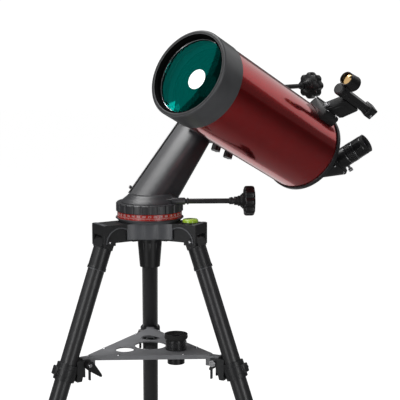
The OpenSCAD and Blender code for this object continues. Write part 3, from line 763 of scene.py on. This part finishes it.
for side in (-1, 1):
    for x, z in ((17.5, 17.5), (17.5, -16.0), (-13.5, 18.0), (-17.0, 14.5)):
        cap_screw(fix, shift(x, side * 20.0, z) @ turn(math.radians(-90 * side), "X"), 1.9, 1.1)
thumbscrew(fix, turn(math.radians(120), "Z") @ shift(18.6, 0, 33) @ turn(math.radians(90), "Y"),
           4.3, 2.7, 5.2, 6.4)
lathe(fix, closed([(18.65, 44.0), (19.1, 44.1), (19.1, 44.9), (18.65, 45.0)]), n=72)
piece("diagonal_fixings", fix, "bright_steel", "star_diagonal", mm(DIAGONAL))
eye = bmesh.new()
for z in (60.5, 62.6):
    lathe(eye, closed([(18.62, z), (18.86, z + 0.1), (18.86, z + 0.55), (18.62, z + 0.65)]), n=72)
piece("eyepiece_lines", eye, "pale_trim", "ocular", mm(DIAGONAL))
grip = bmesh.new()
for i in range(7):
    z = 48 + 1.5 * i
    lathe(grip, closed([(18.62, z), (19.1, z + 0.25), (19.1, z + 0.85), (18.62, z + 1.1)]), n=72)
lathe(grip, closed([(12.6, 78), (17.4, 82.05), (18.0, 82.6), (17.8, 83.6), (16, 83.2),
                    (12.6, 79.5)]), n=72)
piece("eyepiece_grip", grip, "eyepiece_black", "ocular", mm(DIAGONAL))
lens = bmesh.new()
lathe(lens, [(12.8, 80.6), (12, 81.4), (8, 82.6), (4, 83.1), (0, 83.3)], n=56)
piece("eyepiece_lens", lens, "eye_lens", "ocular", mm(DIAGONAL))

# ---------------------------------------------------------------- finder
SIDE_UP = turn(math.radians(90), "X")       # lays an XZ outline so that it thickens along -Y
shoe = bmesh.new()
seat = [(-17, 76.1)] + [(y, math.sqrt(77.9 ** 2 - y * y)) for y in range(-14, 26, 3)]
seat += [(26, 73.6), (26, 89.4), (23.4, 92), (-14.4, 92), (-17, 89.4)]
prism(shoe, [(-z, y) for y, z in seat], 42, shift(-92, 0, 0) @ X_AXIS, 1.0, 2)
prism(shoe, [(-112, 91), (-66, 91), (-68.4, 96), (-86, 120.5), (-89, 124.5), (-131, 124.5),
             (-131, 120), (-114, 96)],
      17, shift(0, 8.5, 0) @ SIDE_UP, 1.6, 3)
for side, low, high in ((-1, -19, -13), (1, 18, 24.5)):
    prism(shoe, [(-106, 97), (-78, 97), (-92, 117), (-122, 117)], 1.0,
          shift(0, side * 8.7 + 0.5, 0) @ SIDE_UP, 0.4, 2)
    block(shoe, (-91, low, 91.4), (-51, high, 93.2), bevel=0.7)
piece("finder_mount", shoe, "black_plastic", "telescope", mm(FINDER),
      ["finder_bracket"])
lock = bmesh.new()
thumbscrew(lock, shift(-66, 2, 91.8), 3.9, 2.4, 2.6, 5.6)
for x in (-84, -58):
    cap_screw(lock, shift(x, 21.2, 92.9), 1.9, 1.0)
piece("finder_mount_screws", lock, "bright_steel", "telescope", mm(FINDER))

LENS_Z, DIAL_Z = 155.8, 133                 # finder lens and dial above the tube's axis
sight = bmesh.new()
prism(sight, [(-172, 125.2), (-66, 125.2), (-66, 137), (-69.5, 141), (-172, 141)], 17,
      shift(0, 8.5, 0) @ SIDE_UP, 1.4, 3)
prism(sight, [(-148, 129), (-84, 129), (-84, 134), (-148, 134)], 0.9, shift(0, 9.3, 0) @ SIDE_UP,
      0.4, 2)
block(sight, (-172, -11, 122.5), (-151, 11, 144.5), bevel=2.0, steps=3)
block(sight, (-78, -8, 139), (-62, 8, 147), bevel=1.4)
lathe(sight, closed([(11.2, -50.4), (12.3, -50), (13.0, -50.6), (13.15, -53), (12.9, -54),
                     (13.1, -55), (14.9, -75), (15.2, -76), (15.2, -77.2), (14.6, -78),
                     (11.2, -78)]), shift(0, 0, LENS_Z) @ X_AXIS, n=88)
piece("finder_sight", sight, "black_plastic", "finder", mm(FINDER),
      ["finder_body"])
glass = bmesh.new()
lathe(glass, [(0, -53.0), (4, -53.15), (8, -53.7), (11.25, -54.6), (11.25, -57), (0, -57)],
      shift(0, 0, LENS_Z) @ X_AXIS, n=64)
piece("finder_lens", glass, "finder_glass", "finder", mm(FINDER))
dial = bmesh.new()
lathe(dial, [(0, -72), (10.4, -72), (11.2, -71.2), (11.2, -58.4), (10.6, -57.5), (9.0, -57.2),
             (8.6, -56.4), (0, -56.2)],
      shift(0, 0, DIAL_Z) @ X_AXIS, n=144,
      wave=lambda a, r, z: 1 + (0.03 * math.cos(24 * a) if r > 11 else 0))
piece("finder_dial", dial, "black_plastic", "finder", mm(FINDER))
bits = bmesh.new()
thumbscrew(bits, shift(-172, 0, 136) @ turn(math.radians(-90), "Y"), 3.2, 1.4, 0.6, 3.2)
thumbscrew(bits, shift(-162, 11, 130) @ turn(math.radians(-90), "X"), 3.2, 1.4, 0.8, 4.0)
cap_screw(bits, shift(-156, 5, 144.2), 1.8, 1.3)
piece("finder_screws", bits, "bright_steel", "finder", mm(FINDER))


# ---------------------------------------------------------------- camera, floor and lights
ROOM_LIGHT = 0.11                           # what the room gives to the object
PAPER_WHITE, FLOOR_WHITE = 1.05, 0.96       # how bright the room and the floor look to the camera
FLOOR_ALBEDO = 0.30
FOCAL, CAMERA_AT, TILT, PAN = 107.14, (-0.0600, -2.2225, 1.1056), 0.1453, 0.0436
cam_data = bpy.data.cameras.new("camera")
cam = bpy.data.objects.new("camera", cam_data)
bpy.context.scene.collection.objects.link(cam)
bpy.context.scene.camera = cam
cam_data.lens = FOCAL
cam_data.sensor_width = 36.0
cam.location = CAMERA_AT
cam.rotation_euler = (math.radians(90) - TILT, 0.0, -PAN)


def card(name, target, aim, distance, width, height, radiance):
    """A rectangular studio light that is aimed at a point and that the camera doesn't see."""
    data = bpy.data.lights.new(name, "AREA")
    data.shape = "RECTANGLE"
    data.size, data.size_y = width, height
    data.energy = radiance * math.pi * width * height
    o = bpy.data.objects.new(name, data)
    away = distance * Vector(aim).normalized()
    o.location = target + away
    o.rotation_euler = (-away).to_track_quat("-Z", "Y").to_euler()
    o.visible_camera = False
    bpy.context.scene.collection.objects.link(o)


def studio_floor():
    """A pale floor that gives little light back but looks as white as the room."""
    bm = bmesh.new()
    lathe(bm, [(0, 0), (0.6, 0), (1.5, 0), (4, 0), (14, 0)], n=64)
    me = bpy.data.meshes.new("studio_floor")
    bm.to_mesh(me)
    bm.free()
    m = material("studio_paper", (FLOOR_ALBEDO,) * 3, 0.85, grain=60, bump=0.0, vary=0.01)
    nt = m.node_tree
    glow = nt.nodes.new("ShaderNodeEmission")
    glow.inputs["Color"].default_value = (1, 1, 1, 1)
    path = nt.nodes.new("ShaderNodeLightPath")
    level = nt.nodes.new("ShaderNodeMath")
    level.operation = "MULTIPLY"
    level.inputs[1].default_value = FLOOR_WHITE
    both = nt.nodes.new("ShaderNodeAddShader")
    nt.links.new(path.outputs["Is Camera Ray"], level.inputs[0])
    nt.links.new(level.outputs[0], glow.inputs["Strength"])
    nt.links.new(nt.nodes["Principled BSDF"].outputs[0], both.inputs[0])
    nt.links.new(glow.outputs[0], both.inputs[1])
    nt.links.new(both.outputs[0], nt.nodes["Material Output"].inputs["Surface"])
    me.materials.append(m)
    o = bpy.data.objects.new("studio_floor", me)
    bpy.context.scene.collection.objects.link(o)


studio_floor()
world = bpy.data.worlds.new("studio_world")
bpy.context.scene.world = world
world.use_nodes = True
nt = world.node_tree
room = nt.nodes["Background"]
room.inputs["Color"].default_value = (1.0, 1.0, 1.0, 1)
room.inputs["Strength"].default_value = ROOM_LIGHT
paper = nt.nodes.new("ShaderNodeBackground")
paper.inputs["Color"].default_value = (1.0, 1.0, 1.0, 1)
paper.inputs["Strength"].default_value = PAPER_WHITE
seen = nt.nodes.new("ShaderNodeLightPath")
pick = nt.nodes.new("ShaderNodeMixShader")
nt.links.new(seen.outputs["Is Camera Ray"], pick.inputs["Fac"])
nt.links.new(room.outputs[0], pick.inputs[1])
nt.links.new(paper.outputs[0], pick.inputs[2])
nt.links.new(pick.outputs[0], nt.nodes["World Output"].inputs["Surface"])
bpy.context.scene.view_settings.view_transform = "Standard"
MID, LENS, TUBE = (Vector(p) for p in ((0.0, -0.05, 0.80), (0.02, -0.22, 1.02),
                                       (0.16, -0.08, 0.93)))
CARDS = {    # target, direction, distance, width, height, radiance
    "top_card": (MID, (-0.30, 0.15, 0.94), 2.5, 1.4, 1.4, 7.0),
    "left_card": (LENS, (-0.84, -0.14, 0.52), 2.2, 1.9, 1.7, 1.2),
    "right_card": (TUBE, (0.72, 0.62, 0.34), 2.2, 2.0, 1.1, 0.6),
    "front_left_card": (MID, (-0.64, -0.77, 0.02), 2.7, 0.8, 2.2, 3.2),
    "front_right_card": (MID, (0.50, -0.86, 0.02), 2.7, 0.7, 2.2, 3.6),
    "low_card": (TUBE, (-0.05, 0.78, -0.62), 1.2, 2.0, 0.55, 0.55),
}
for name, values in CARDS.items():
    card(name, *values)
